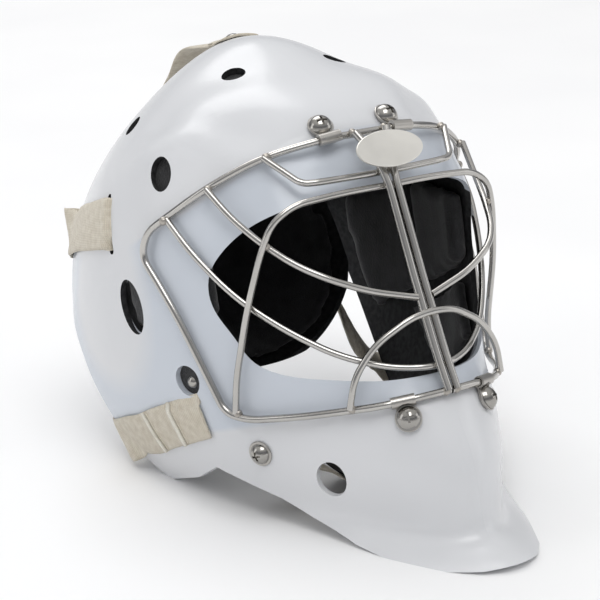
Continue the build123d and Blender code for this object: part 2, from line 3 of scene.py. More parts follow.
import bmesh
import bpy
import numpy as np
from mathutils import Matrix, Vector, noise
from mathutils.bvhtree import BVHTree


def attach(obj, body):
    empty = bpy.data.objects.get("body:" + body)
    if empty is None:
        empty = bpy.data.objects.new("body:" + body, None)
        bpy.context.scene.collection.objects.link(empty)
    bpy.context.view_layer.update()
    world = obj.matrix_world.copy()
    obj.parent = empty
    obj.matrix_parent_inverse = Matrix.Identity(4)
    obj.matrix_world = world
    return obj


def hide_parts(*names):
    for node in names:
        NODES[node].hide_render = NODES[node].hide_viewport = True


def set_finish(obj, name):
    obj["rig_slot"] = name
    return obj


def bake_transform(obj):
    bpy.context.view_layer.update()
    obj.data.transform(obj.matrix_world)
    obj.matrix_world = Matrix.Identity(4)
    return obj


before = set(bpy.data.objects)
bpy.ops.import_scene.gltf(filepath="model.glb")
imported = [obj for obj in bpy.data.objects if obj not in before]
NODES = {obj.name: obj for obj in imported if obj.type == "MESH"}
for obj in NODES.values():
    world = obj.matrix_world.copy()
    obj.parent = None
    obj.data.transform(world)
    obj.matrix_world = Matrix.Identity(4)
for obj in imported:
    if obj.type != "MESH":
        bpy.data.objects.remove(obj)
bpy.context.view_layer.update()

# The mask is drawn as worn and tipped forward on to its chin lip, as in the CAD source (mm).
TILT = math.radians(19.0)
STAND_Y, STAND_Z = 45.82, 122.6
COS, SIN = math.cos(TILT), math.sin(TILT)


def at(x, y, z):
    """Worn millimetres to metres in the frame."""
    return Vector((x, y * COS + z * SIN + STAND_Y, -y * SIN + z * COS + STAND_Z)) / 1000


def turn(x, y, z):
    """Worn direction to a unit direction in the frame."""
    return Vector((x, y * COS + z * SIN, -y * SIN + z * COS)).normalized()


# ---------------------------------------------------------------- camera, floor and light
def aim(obj, target, roll=0.0):
    direction = (Vector(target) - obj.location).normalized()
    turned = direction.to_track_quat("-Z", "Y").to_matrix() @ Matrix.Rotation(roll, 3, "Z")
    obj.rotation_euler = turned.to_euler()


CAMERA_PLACE, CAMERA_TARGET = (-0.6274, -0.9777, 0.4866), (0, 0.0324, 0.1012)   # metres
CAMERA_ROLL, CAMERA_LENS = -1.69, 119.1         # degrees, millimetres
cam = bpy.data.objects.new("camera", bpy.data.cameras.new("camera"))
bpy.context.scene.collection.objects.link(cam)
cam.location = CAMERA_PLACE
aim(cam, CAMERA_TARGET, math.radians(CAMERA_ROLL))
cam.data.lens = CAMERA_LENS
cam.data.sensor_width = 36.0
bpy.context.scene.camera = cam


def softbox(name, place, target, size, watts):
    light = bpy.data.objects.new(name, bpy.data.lights.new(name, "AREA"))
    bpy.context.scene.collection.objects.link(light)
    light.data.shape = "RECTANGLE"
    light.data.size, light.data.size_y = size
    light.data.energy = watts
    light.location = place
    aim(light, target)


softbox("key", (-0.6, -1.4, 3.2), (0, 0, 0.12), (1.8, 1.8), 34)
softbox("fill", (1.8, -1.1, 0.8), (0, 0, 0.12), (0.9, 1.2), 3)
softbox("top", (0.3, 2.4, 3.4), (0, 0.8, 0), (2.6, 2.6), 52)
softbox("rim", (-1.7, 0.6, 0.8), (0, 0, 0.15), (0.7, 1.2), 3)

world = bpy.data.worlds.new("studio")
bpy.context.scene.world = world
world.use_nodes = True
sky_tree = world.node_tree
sky_out = sky_tree.nodes["Background"]
sky_out.inputs["Strength"].default_value = 0.72
sky_at = sky_tree.nodes.new("ShaderNodeTexCoord")
sky_parts = sky_tree.nodes.new("ShaderNodeSeparateXYZ")
sky = sky_tree.nodes.new("ShaderNodeValToRGB")
# White at the horizon and overhead, with a darker band between that the gloss parts mirror.
HORIZON, BAND, OVERHEAD = 0.02, 0.25, 0.75
low, high = sky.color_ramp.elements
low.position, high.position = HORIZON, OVERHEAD
low.color = high.color = (1.0, 1.0, 1.0, 1)
sky.color_ramp.elements.new(BAND).color = (0.25, 0.26, 0.29, 1)
sky_tree.links.new(sky_at.outputs["Generated"], sky_parts.inputs["Vector"])
sky_tree.links.new(sky_parts.outputs["Z"], sky.inputs["Fac"])
sky_tree.links.new(sky.outputs["Color"], sky_out.inputs["Color"])
bpy.context.scene.view_settings.view_transform = "Standard"


# ---------------------------------------------------------------- materials
class Look:
    """A node material built round one Principled shader."""

    def __init__(self, name, colour, rough, metal=0.0, **extra):
        self.mat = bpy.data.materials.new(name)
        self.mat.use_nodes = True
        self.tree = self.mat.node_tree
        self.shader = self.tree.nodes["Principled BSDF"]
        self.shader.inputs["Base Color"].default_value = (*colour, 1)
        self.shader.inputs["Roughness"].default_value = rough
        self.shader.inputs["Metallic"].default_value = metal
        for key, value in extra.items():
            self.shader.inputs[key.replace("_", " ")].default_value = value

    def add(self, kind, **inputs):
        made = self.tree.nodes.new(kind)
        for key, value in inputs.items():
            made.inputs[key.replace("_", " ")].default_value = value
        return made

    def link(self, a, out, b, into):
        self.tree.links.new(a.outputs[out], b.inputs[into])

    def coords(self, which="Object", scale=(1, 1, 1)):
        where = self.add("ShaderNodeTexCoord")
        mapped = self.add("ShaderNodeMapping", Scale=scale)
        self.link(where, which, mapped, "Vector")
        return mapped

    def noise(self, scale, detail=3.0, stretch=(1, 1, 1)):
        made = self.add("ShaderNodeTexNoise", Scale=scale, Detail=detail)
        self.link(self.coords(scale=stretch), "Vector", made, "Vector")
        return made

    def ramp(self, source, out, low, high, a=0.35, b=0.65):
        made = self.add("ShaderNodeValToRGB")
        made.color_ramp.elements[0].position, made.color_ramp.elements[1].position = a, b
        made.color_ramp.elements[0].color = (*low, 1)
        made.color_ramp.elements[1].color = (*high, 1)
        self.link(source, out, made, "Fac")
        return made

    def mix(self, factor, a, b, blend="MIX"):
        """Colour mix; the factor is a number or a math result, each side a node or a colour."""
        made = self.add("ShaderNodeMix")
        made.data_type, made.blend_type = "RGBA", blend
        for socket, value in ((0, factor), (6, a), (7, b)):
            if isinstance(value, tuple) and len(value) == 3:
                made.inputs[socket].default_value = (*value, 1)
            elif isinstance(value, tuple):
                self.tree.links.new(value[0].outputs[value[1]], made.inputs[socket])
            elif isinstance(value, float):
                made.inputs[socket].default_value = value
            else:
                out = 2 if value.bl_idname == "ShaderNodeMix" else 0
                self.tree.links.new(value.outputs[out], made.inputs[socket])
        return made

    def vary_rough(self, source, low, high):
        made = self.add("ShaderNodeMapRange", To_Min=low, To_Max=high)
        self.link(source, "Fac", made, "Value")
        self.link(made, "Result", self.shader, "Roughness")

    def bump(self, source, out, height, strength=0.5, onto=None):
        made = self.add("ShaderNodeBump", Strength=strength, Distance=height)
        self.link(source, out, made, "Height")
        if onto:
            self.link(onto, "Normal", made, "Normal")
        self.link(made, "Normal", self.shader, "Normal")
        return made

    def math(self, kind, a, b=None, clamp=False):
        """A Math node on two values, each a number or a (node, output) pair."""
        made = self.add("ShaderNodeMath")
        made.operation, made.use_clamp = kind, clamp
        for i, value in enumerate((a, b)):
            if isinstance(value, tuple):
                self.tree.links.new(value[0].outputs[value[1]], made.inputs[i])
            elif value is not None:
                made.inputs[i].default_value = value
        return (made, 0)


# Worn metres of the cage seat's edges: the height of its top line at the middle, how far that
# falls at SEAT_SPAN from the middle along a curve of power SEAT_CURVE, its rear line and its foot.
SEAT_TOP, SEAT_FALL, SEAT_SPAN, SEAT_CURVE = 0.071, 0.038, 0.11, 2.4
SEAT_REAR, SEAT_FOOT = 0.1135, 0.09
JAW_LEVEL, JAW_SLOPE = 0.108, 0.55      # the line under which the jaw gets no painted shade
SEAT_SHARP, JAW_SHARP = 300, 400        # one over the width of each soft edge, in metres
HEAD_MIDDLE = (0, -10, 5)               # worn millimetres
SHADE_UNDER, SEAT_LESS = 0.3, 0.85      # facing under which the painted inner shade shows, and less in the seat
SHADE_DULL = 0.65                        # roughness that the painted inner shade adds


def paint():
    """Gloss white lacquer, with painted shade: darker and bluer in the recessed cage seat, near black
    on the inner face.
    """
    look = Look("shell_paint", (0.7, 0.71, 0.73), 0.25)
    tone = look.ramp(look.noise(6, 3), "Fac", (0.68, 0.69, 0.71), (0.72, 0.725, 0.74), 0.2, 0.8)
    where = look.add("ShaderNodeTexCoord")
    moved = look.add("ShaderNodeMapping", Location=(0, -STAND_Y / 1000, -STAND_Z / 1000))
    turned = look.add("ShaderNodeMapping", Rotation=(TILT, 0, 0))
    parts = look.add("ShaderNodeSeparateXYZ")
    look.link(where, "Object", moved, "Vector")
    look.link(moved, "Vector", turned, "Vector")
    look.link(turned, "Vector", parts, "Vector")
    # The cage seat is below its top line, ahead of its rear line and above its foot.
    wide = look.math("ABSOLUTE", (parts, "X"))
    share = look.math("POWER", look.math("DIVIDE", wide, SEAT_SPAN), SEAT_CURVE)
    top_line = look.math("SUBTRACT", SEAT_TOP, look.math("MULTIPLY", share, SEAT_FALL))
    under = look.math("MULTIPLY", look.math("SUBTRACT", top_line, (parts, "Z")), SEAT_SHARP, clamp=True)
    ahead = look.math("MULTIPLY", look.math("SUBTRACT", SEAT_REAR, wide), SEAT_SHARP, clamp=True)
    foot = look.math("MULTIPLY", look.math("ADD", (parts, "Z"), SEAT_FOOT), SEAT_SHARP, clamp=True)
    seat = look.math("MULTIPLY", look.math("MULTIPLY", under, ahead), foot)
    # The recessed cage seat is painted darker and bluer: painted shade in the recess.
    outer = look.mix(seat, tone, (0.60, 0.64, 0.70))
    # Painted shade, near black, where the face looks back at the middle of the head, except in the jaw.
    spoke = look.add("ShaderNodeVectorMath")
    spoke.operation = "SUBTRACT"
    spoke.inputs[1].default_value = at(*HEAD_MIDDLE)
    unit = look.add("ShaderNodeVectorMath")
    unit.operation = "NORMALIZE"
    facing = look.add("ShaderNodeVectorMath")
    facing.operation = "DOT_PRODUCT"
    look.link(where, "Object", spoke, 0)
    look.link(spoke, "Vector", unit, 0)
    look.link(unit, "Vector", facing, 0)
    look.link(where, "Normal", facing, 1)
    # The vents' walls get the painted shade too, but the port's rim does not.
    limit = look.math("SUBTRACT", SHADE_UNDER, look.math("MULTIPLY", seat, SEAT_LESS))
    inward = look.math("LESS_THAN", (facing, "Value"), limit)
    slope = look.math("ADD", (parts, "Z"), look.math("MULTIPLY", (parts, "Y"), JAW_SLOPE))
    above_jaw = look.math("MULTIPLY", look.math("ADD", slope, JAW_LEVEL), JAW_SHARP, clamp=True)
    inner_shade = look.math("MULTIPLY", inward, above_jaw)
    # Near-black colour of the painted inner shade, with a fine noise.
    inner_shade_tone = look.ramp(look.noise(300, 4), "Fac", (0.008, 0.008, 0.009), (0.03, 0.03, 0.032))
    final = look.mix(inner_shade, outer, inner_shade_tone)
    look.tree.links.new(final.outputs[2], look.shader.inputs["Base Color"])
    gloss = look.add("ShaderNodeMapRange", To_Min=0.17, To_Max=0.27)
    look.link(look.noise(35, 5), "Fac", gloss, "Value")
    dull = look.math("ADD", (gloss, "Result"), look.math("MULTIPLY", inner_shade, SHADE_DULL))
    look.tree.links.new(dull[0].outputs[0], look.shader.inputs["Roughness"])
    look.bump(look.noise(420, 2), "Fac", 0.00005, 0.3)
    return look.mat


def steel(name, colour, low, high, stretch=(1, 1, 1), scale=260, depth=0.00003):
    look = Look(name, colour, low, 1.0)
    grain = look.noise(scale, 6, stretch)
    tint = look.ramp(look.noise(30, 3), "Fac", tuple(c * 0.86 for c in colour), colour)
    look.link(tint, "Color", look.shader, "Base Color")
    look.vary_rough(grain, low, high)
    look.bump(grain, "Fac", depth, 0.4)
    return look.mat


def foam():
    look = Look("liner_foam", (0.012, 0.012, 0.013), 0.95, Sheen_Weight=0.25, Sheen_Roughness=0.6)
    pores = look.add("ShaderNodeTexVoronoi", Scale=900)
    look.link(look.coords(), "Vector", pores, "Vector")
    soft = look.noise(60, 5)
    tone = look.ramp(soft, "Fac", (0.006, 0.006, 0.007), (0.022, 0.022, 0.024))
    look.link(tone, "Color", look.shader, "Base Color")
    first = look.bump(pores, "Distance", 0.0004, 0.6)
    look.bump(soft, "Fac", 0.0012, 0.4, first)
    return look.mat


def towelling():
    look = Look("sweatband_cloth", (0.5, 0.42, 0.28), 0.9, Sheen_Weight=0.4)
    loops = look.noise(1400, 3)
    tone = look.ramp(loops, "Fac", (0.34, 0.28, 0.18), (0.62, 0.54, 0.38))
    look.link(tone, "Color", look.shader, "Base Color")
    look.bump(loops, "Fac", 0.0006, 0.8)
    return look.mat


def webbing(name, low, high):
    """Cream webbing: ribs across the band and a fine warp along it, in the band's own metres."""
    look = Look(name, high, 0.85, Sheen_Weight=0.3, Sheen_Roughness=0.5)
    ribs = look.add("ShaderNodeTexWave", Scale=1, Distortion=0.6, Detail=2, Detail_Scale=2)
    ribs.bands_direction = "X"
    look.link(look.coords("UV", (190, 12, 1)), "Vector", ribs, "Vector")
    warp = look.add("ShaderNodeTexWave", Scale=1, Distortion=0.4, Detail=1)
    warp.bands_direction = "Y"
    look.link(look.coords("UV", (12, 330, 1)), "Vector", warp, "Vector")
    weave = look.math("MULTIPLY", (ribs, "Fac"), look.math("ADD", (warp, "Fac"), 0.35))
    fuzz = look.noise(240, 6)
    tone = look.ramp(fuzz, "Fac", low, high, 0.3, 0.72)
    dark = look.mix(0.16, tone, weave, "MULTIPLY")
    look.tree.links.new(dark.outputs[2], look.shader.inputs["Base Color"])
    first = look.add("ShaderNodeBump", Strength=0.7, Distance=0.0004)
    look.tree.links.new(weave[0].outputs[0], first.inputs["Height"])
    look.bump(fuzz, "Fac", 0.0004, 0.4, first)
    return look.mat


def plastic():
    look = Look("cup_plastic", (0.03, 0.03, 0.033), 0.5)
    grain = look.noise(900, 2)
    look.vary_rough(look.noise(40, 4), 0.4, 0.6)
    look.bump(grain, "Fac", 0.00012, 0.5)
    return look.mat


PAINT = paint()
WIRE = steel("cage_steel", (0.53, 0.515, 0.49), 0.10, 0.24)
BADGE = steel("badge_steel", (0.84, 0.82, 0.77), 0.38, 0.55, (1, 12, 12), 160)
CLIP = steel("clip_steel", (0.50, 0.48, 0.45), 0.22, 0.4)
# Screw steel is darker than the clip steel: a painted dark reflection of the surroundings that the
# screws mirror.
SCREW = steel("screw_steel", (0.42, 0.405, 0.38), 0.10, 0.24)
BEAD = steel("weld_steel", (0.46, 0.43, 0.39), 0.25, 0.5, scale=900, depth=0.0001)
FOAM, TOWEL, CUP = foam(), towelling(), plastic()
WEB = webbing("webbing", (0.64, 0.57, 0.45), (0.80, 0.74, 0.62))
# Lighter webbing for the raised folds: a painted highlight along their crests.
FOLD_HIGHLIGHT = webbing("webbing_fold_highlight", (0.80, 0.76, 0.66), (0.92, 0.89, 0.80))

DRESS = {
    "shell": PAINT, "back_plate": PAINT, "badge": BADGE, "chin_cup": CUP,
    "top_clips": CLIP, "chin_clips": CLIP, "clip_washers": CLIP, "side_washers": CLIP,
    "clip_screws": SCREW, "side_screws": SCREW, "top_rivet": SCREW, "plate_rivets": SCREW,
    "liner_snaps": SCREW, "strap_studs": SCREW, "clip_nuts": CLIP, "side_nuts": CLIP,
    "cup_pivots": CLIP,
}
for name, obj in NODES.items():
    look = DRESS.get(name, WIRE if name.startswith("cage_") else FOAM)
    obj.data.materials.clear()
    obj.data.materials.append(look)


# ---------------------------------------------------------------- making pieces
def piece(name, mesh, material, slot, body=None):
    obj = bpy.data.objects.new(name, mesh)
    bpy.context.scene.collection.objects.link(obj)
    mesh.materials.clear()
    mesh.materials.append(material)
    mesh.polygons.foreach_set("use_smooth", [True] * len(mesh.polygons))
    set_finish(obj, slot)
    if body:
        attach(obj, body)
    return obj


def coordinates(mesh):
    co = np.zeros(len(mesh.vertices) * 3)
    mesh.vertices.foreach_get("co", co)
    return co.reshape(-1, 3)


def normals(mesh):
    no = np.zeros(len(mesh.vertices) * 3)
    mesh.vertex_normals.foreach_get("vector", no)
    return no.reshape(-1, 3)


def baked(obj):
    """Mesh of the object with its modifiers applied."""
    graph = bpy.context.evaluated_depsgraph_get()
    return bpy.data.meshes.new_from_object(obj.evaluated_get(graph))


SIM_FRAMES = 20
VOXEL = 0.005
PRESSURE = 4
SHRINK = 0.0014         # how far a pad starts inside its CAD solid
PAD_CAP = 0.0016        # how far a point may swell


def swell(obj):
    """Blow the foam up a little with a cloth simulation, so that its edges turn round."""
    start = coordinates(obj.data)
    cloth = obj.modifiers.new("cloth", "CLOTH")
    cloth.settings.quality = 5
    cloth.settings.use_pressure = True
    cloth.settings.uniform_pressure_force = PRESSURE
    cloth.settings.effector_weights.gravity = 0
    cloth.point_cache.frame_start, cloth.point_cache.frame_end = 1, SIM_FRAMES
    for f in range(1, SIM_FRAMES + 1):
        bpy.context.scene.frame_set(f)
    end = coordinates(baked(obj))
    bpy.context.scene.frame_set(1)
    obj.modifiers.remove(cloth)
    move = end - start
    far = np.linalg.norm(move, axis=1, keepdims=True)
    move *= np.minimum(1, PAD_CAP / np.maximum(far, 1e-9))
    obj.data.vertices.foreach_set("co", (start + move).ravel())


def pad(node, body, material=None, slot="liner_foam", channels=(), voxel=VOXEL):
    """Foam pad grown from its CAD solid: rounded, swollen, with pressed channels."""
    source = NODES[node]
    obj = bpy.data.objects.new(node + "_foam", source.data.copy())
    bpy.context.scene.collection.objects.link(obj)
    remesh = obj.modifiers.new("remesh", "REMESH")
    remesh.mode, remesh.voxel_size = "VOXEL", voxel
    obj.data = baked(obj)
    obj.modifiers.clear()
    inward = coordinates(obj.data) - normals(obj.data) * SHRINK
    obj.data.vertices.foreach_set("co", inward.ravel())
    obj.data.update()
    swell(obj)
    smooth = obj.modifiers.new("subdivision", "SUBSURF")
    smooth.levels = smooth.render_levels = 1
    obj.data = baked(obj)
    obj.modifiers.clear()
    co, no = coordinates(obj.data), normals(obj.data)
    depth = np.zeros(len(co))
    for point, direction, width, deep in channels:
        side = (co - np.array(point)) @ np.array(direction)
        depth = np.maximum(depth, deep * np.exp(-((side / width) ** 2)))
    obj.data.vertices.foreach_set("co", (co - no * depth[:, None]).ravel())
    mesh = obj.data
    bpy.data.objects.remove(obj)
    made = piece(node + "_foam", mesh, material or FOAM, slot, body)
    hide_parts(node)
    return made


def mirrored(obj, node, body):
    """The left-hand twin of a right-hand pad."""
    mesh = obj.data.copy()
    mesh.transform(Matrix.Scale(-1, 4, (1, 0, 0)))
    mesh.flip_normals()
    made = piece(node + "_foam", mesh, obj.data.materials[0], obj["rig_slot"], body)
    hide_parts(node)


# ---------------------------------------------------------------- straps
PLATE_CENTRE, PLATE_AXES = (0, 18, 25), (98.0, 112.0, 100.0)


def plate_row(x, z, across, width):
    (a, b, c), (cx, cy, cz) = PLATE_AXES, PLATE_CENTRE
    dx, dz = x - cx, z - cz
    dy = b * math.sqrt(1 - (dx / a) ** 2 - (dz / c) ** 2)
    return (x, cy + dy, z), across, width, (dx / a ** 2, dy / b ** 2, dz / c ** 2)


# Rows along each strap, front to back, close to the CAD source's: centre, direction across, width
# and normal. strap_grid() takes them on to the faces of the CAD solid.
STRAP_W = 34.0
LOWER_ROWS = [
    ((-98, -38, -78), (0, 0, -1), STRAP_W * 0.88, (-0.95, -0.25, -0.2)),
    ((-102, -18, -80.5), (0, -0.06, -1), STRAP_W * 0.89, (-0.96, -0.15, -0.22)),
    ((-106, 5, -84), (0, -0.16, -1), STRAP_W * 0.9, (-0.98, -0.05, -0.15)),
    ((-107, 28, -88), (0, -0.3, -1), STRAP_W * 0.92, (-1, 0.03, -0.1)),
    ((-107, 46, -88.5), (0, -0.45, -1), STRAP_W * 0.95, (-1, 0.05, -0.05)),
    ((-106, 57, -89.3), (0, -0.6, -1), STRAP_W * 0.98, (-1, 0.15, -0.05)),
    ((-104.5, 69.5, -89.3), (0, -0.55, -0.85), STRAP_W, (-0.5, 0.85, -0.4)),
    ((-97.5, 71.5, -86), (0, -0.55, -0.85), STRAP_W, (0.3, 0.9, -0.45)),
    ((-88, 75, -70), (0, -0.4, -0.9), STRAP_W * 0.95, (-0.1, 0.9, -0.4)),
    ((-80, 82, -46), (0.1, -0.2, -0.95), STRAP_W * 0.9, (-0.5, 0.8, -0.2)),
] + [plate_row(x, z, (0, 0, -1), STRAP_W * 0.85) for x, z in ((-70, -22), (-62, -17), (-54, -13))]
UPPER_ROWS = [
    ((-114, 12, 47), (0, 0.05, -1), STRAP_W, (-1, 0, 0)),
    ((-115, 22, 48), (0, 0.05, -1), STRAP_W, (-1, 0, 0)),
    ((-115, 38, 49), (0, 0.05, -1), STRAP_W, (-1, 0.05, 0)),
    ((-112, 56, 50), (0, 0.05, -1), STRAP_W, (-0.97, 0.2, 0)),
    ((-108, 72, 50), (0, 0.05, -1), STRAP_W, (-0.95, 0.25, 0)),
    ((-104, 86, 49), (0, 0.05, -1), STRAP_W, (-0.93, 0.3, 0)),
    ((-99, 96, 48), (0, 0.05, -1), STRAP_W, (-0.9, 0.4, 0)),
    ((-95, 107, 47), (0, 0, -1), STRAP_W, (-0.5, 0.85, 0)),
    ((-85, 106, 46), (0, 0, -1), STRAP_W * 0.96, (0.3, 0.95, 0)),
] + [plate_row(x, z, (0, 0, -1), STRAP_W * 0.85) for x, z in ((-70, 43), (-60, 44), (-51, 45))]
TOP_ROWS = [
    ((0, 2, 146), (1, 0, 0), 30, (0, 0, 1)), ((0, 10, 146), (1, 0, 0), 30, (0, 0.1, 1)),
    ((0, 18, 145), (1, 0, 0), 30, (0, 0.1, 1)), ((0, 27, 145), (1, 0, 0), 30, (0, 0, 1)),
    ((0, 39, 147), (1, 0, 0), 30, (0, -0.2, 1)), ((0, 51, 149), (1, 0, 0), 30, (0, 0.15, 1)),
    ((0, 64, 146), (1, 0, 0), 30, (0, 0.45, 1)), ((0, 78, 137), (1, 0, 0), 30, (0, 0.6, 1)),
    ((0, 92, 130), (1, 0, 0), 30, (0, 0.6, 1)), ((0, 106, 122), (1, 0, 0), 30, (0, 1, 0.8)),
    ((0, 112, 108), (1, 0, 0), 30, (0, 1, 0.3)),
] + [plate_row(x, z, (1, 0, 0), 30) for x, z in ((0, 84), (0, 76), (0, 66))]


def between(rows, per):
    """Catmull-Rom rows between the given ones; each row is (centre, across, width, normal)."""
    flat = np.array([[*c, *Vector(a).normalized(), w, *Vector(n).normalized()]
                     for c, a, w, n in rows])
    out = []
    for i in range(len(flat) - 1):
        p = [flat[max(i - 1, 0)], flat[i], flat[i + 1], flat[min(i + 2, len(flat) - 1)]]
        for t in np.arange(per) / per:
            out.append(0.5 * (2 * p[1] + (p[2] - p[0]) * t
                              + (2 * p[0] - 5 * p[1] + 4 * p[2] - p[3]) * t ** 2
                              + (3 * p[1] - p[0] - 3 * p[2] + p[3]) * t ** 3))
    return out + [flat[-1]]


WEB_COLUMNS = 17
MIDDLE = WEB_COLUMNS // 2
WEB_INSET = 0.6                 # millimetres that the webbing is narrower than its solid
WEB_ROUND = (0.35, 0.75)        # thickness share of the two outermost columns
WEB_T = 0.0017


def grid_normals(grid):
    """Unit normals of a grid of points, on either side."""
    along, over = np.gradient(grid, axis=0), np.gradient(grid, axis=1)
    out = np.cross(over, along)
    return out / np.linalg.norm(out, axis=2, keepdims=True)


def strap_grid(node, rows, per):
    """Points on the outer face of a strap's CAD solid, and their outward normals."""
    mesh = NODES[node].data
    tree = BVHTree.FromPolygons([v.co for v in mesh.vertices], [p.vertices for p in mesh.polygons])
    grid = []
    for row in between(rows, per):
        centre, across, width, normal = row[:3], row[3:6], row[6], row[7:]
        line = []
        for k in np.linspace(-0.5, 0.5, WEB_COLUMNS):
            q = at(*(centre + across * k * (width - WEB_INSET))) + turn(*normal) * 0.004
            line.append(tree.find_nearest(q)[0])
        grid.append(line)
    grid = np.array(grid)
    for _ in range(2):
        grid[1:-1] = (grid[:-2] + 2 * grid[1:-1] + grid[2:]) / 4
    out = grid_normals(grid)
    guide = np.array([turn(*row[7:]) for row in between(rows, per)])
    if (out[:, MIDDLE] * guide).sum() < 0:
        out = -out
    return grid, out


def web_mesh(name, top, out, thick=WEB_T):
    """Closed band under a grid of outer points, with rounded edges and its own metres as UV."""
    n, m = top.shape[:2]
    share = np.ones(m)
    share[[0, -1]], share[[1, -2]] = WEB_ROUND
    sink = (1 - share)[None, :, None] * thick / 2
    upper = top - out * sink
    lower = top - out * (thick - sink)
    verts = np.concatenate([upper.reshape(-1, 3), lower.reshape(-1, 3)])
    faces = []
    size = n * m
    for i in range(n - 1):
        for j in range(m - 1):
            a, b, c, d = i * m + j, i * m + j + 1, (i + 1) * m + j + 1, (i + 1) * m + j
            faces.append((a, b, c, d))
            faces.append((size + d, size + c, size + b, size + a))
    for i in range(n - 1):
        for j in (0, m - 1):
            a, d = i * m + j, (i + 1) * m + j
            faces.append((a, d, size + d, size + a) if j == 0 else (d, a, size + a, size + d))
    for j in range(m - 1):
        a, b = j, j + 1
        faces.append((b, a, size + a, size + b))
        a, b = (n - 1) * m + j, (n - 1) * m + j + 1
        faces.append((a, b, size + b, size + a))
    mesh = bpy.data.meshes.new(name)
    mesh.from_pydata([tuple(v) for v in verts], [], faces)
    step = np.linalg.norm(np.diff(top[:, m // 2], axis=0), axis=1)
    u = np.concatenate([[0], np.cumsum(step)])
    v = np.linspace(0, np.linalg.norm(top[n // 2, -1] - top[n // 2, 0]), m)
    uv = mesh.uv_layers.new(name="band")
    loops = np.zeros(len(mesh.loops), int)
    mesh.loops.foreach_get("vertex_index", loops)
    loops %= size
    uv.data.foreach_set("uv", np.stack([u[loops // m], v[loops % m]], 1).ravel())
    bm = bmesh.new()
    bm.from_mesh(mesh)
    bmesh.ops.recalc_face_normals(bm, faces=bm.faces)
    bm.to_mesh(mesh)
    bm.free()
    return mesh


STITCH_PITCH = 1.3              # about how many stitch lengths from one stitch to the next


def stitches(name, lines, body, length=0.0026, thick=0.00034):
    """Lock stitches laid along lines of (start, end, normal)."""
    bm = bmesh.new()
    for start, end, normal in lines:
        run = Vector(end) - Vector(start)
        count = max(2, round(run.length / (length * STITCH_PITCH)))
        turned = run.normalized().to_track_quat("X", "Z").to_matrix().to_4x4()
        for k in range(count):
            middle = Vector(start) + run * ((k + 0.5) / count) + Vector(normal) * thick * 0.4
            shape = Matrix.Diagonal((length / 2, thick, thick, 1))
            bmesh.ops.create_icosphere(bm, subdivisions=2, radius=1.0,
                                       matrix=Matrix.Translation(middle) @ turned @ shape)
    mesh = bpy.data.meshes.new(name)
    bm.to_mesh(mesh)
    bm.free()
    piece(name, mesh, THREAD, "webbing", body)


THREAD_LOOK = Look("thread", (0.72, 0.67, 0.56), 0.6)
THREAD_LOOK.bump(THREAD_LOOK.noise(2500, 2), "Fac", 0.0001, 0.6)
THREAD = THREAD_LOOK.mat


def flip(points):
    """Mirror a grid to the left side."""
    return points * np.array([-1.0, 1, 1])


def across_line(grid, out, row):
    """Chain of short stitch runs across the band at one row."""
    return [(grid[row, j], grid[row, j + 1], out[row, j]) for j in range(1, WEB_COLUMNS - 2)]


def ruffle(grid, out, amount, scale):
    """Small uneven lift, so that the webbing doesn't look pressed."""
    lift = np.array([[noise.noise(Vector(p) * scale) for p in row] for row in grid])
    return grid + out * (lift[..., None] * amount)


def nearest_row(grid, target):
    middle = grid[:, MIDDLE]
    return int(np.linalg.norm(middle - np.array(target), axis=1).argmin())


# Millimetres ahead of a band's front end and down from its face, where it dives into its slot.
DIVE = ((9.4, 6.5), (8.8, 4.2), (7.9, 2.0), (6.6, 0.7), (4.8, 0.15), (2.4, 0.0))


def into_slot(grid, out):
    """Lead the front end of a band on and down into the slot that it comes out of."""
    ahead = grid[0] - grid[2]
    ahead /= np.linalg.norm(ahead, axis=1, keepdims=True)
    more = np.array([grid[0] + ahead * (f / 1000) - out[0] * (d / 1000) for f, d in DIVE])
    grid = np.concatenate([more, grid])
    turned = grid_normals(grid)
    if (turned[len(DIVE) + 2] * out[2]).sum() < 0:
        turned = -turned
    return grid, turned


RUFFLE, RUFFLE_SCALE = 0.0004, 90
WELT_RISE, WELT_WIDE, WELT_T = 0.0009, 1.1, 0.0009     # height, share of the fold's width, thickness
WELT_STITCH = 1.9               # fold widths from a fold's middle to the stitching either side
TAIL_IN, TAIL_GAP = 2, 6        # rows from the plate end to the last stitching, and to the next


